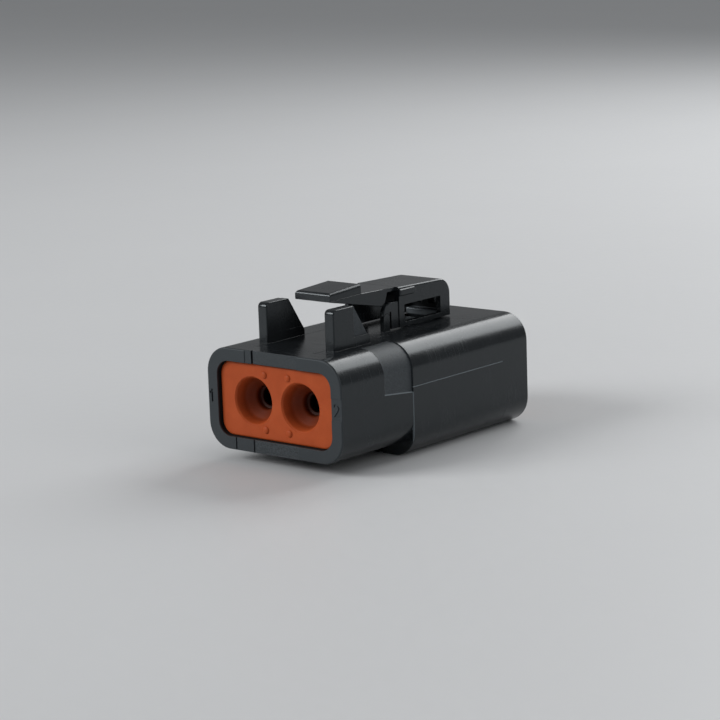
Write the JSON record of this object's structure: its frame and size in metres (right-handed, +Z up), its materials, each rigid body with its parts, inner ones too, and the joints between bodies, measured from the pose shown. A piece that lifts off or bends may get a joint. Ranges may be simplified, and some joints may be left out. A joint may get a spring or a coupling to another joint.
{
  "type": "sealed automotive connector",
  "caption": "Sealed wire-to-wire power plug with a rocker latch, guard ears, a rubber wire seal, a skirt round a nose, and socket contacts.",
  "frame": {"origin": "middle of the plug's box in X and Y, on the plane that the front section rests on", "axes": "+X across the plug to the right seen from the wires, +Y from the wire face to the mating face, +Z up to the latch"},
  "size_m": [0.0284, 0.0474, 0.0269],
  "materials": {
    "black_plastic": "glossy black glass-filled polyester",
    "seal_rubber": "matte orange-red silicone",
    "wedge_plastic": "satin orange polyester",
    "contact_alloy": "nickel-plated copper alloy",
    "sleeve_steel": "drawn stainless steel"
  },
  "bodies": {
    "plug": {"housing": "black_plastic", "wire_seal": "seal_rubber", "interface_seal": "seal_rubber", "socket_contact_left": "contact_alloy", "socket_contact_right": "contact_alloy", "socket_sleeve_left": "sleeve_steel", "socket_sleeve_right": "sleeve_steel"},
    "lever": {"latch_lever": "black_plastic"},
    "wedge": {"wedge_lock": "wedge_plastic"}
  },
  "joints": [
    {"name": "latch_rock", "type": "hinge", "parent": "plug", "child": "lever", "pos_m": [0, -0.0006, 0.0206], "axis": [1, 0, 0], "range_deg": [0, 8], "stiffness_Nm_per_rad": 0.3},
    {"name": "wedge_slide", "type": "slide", "parent": "plug", "child": "wedge", "axis": [0, 1, 0], "range_m": [0, 0.008]}
  ]
}
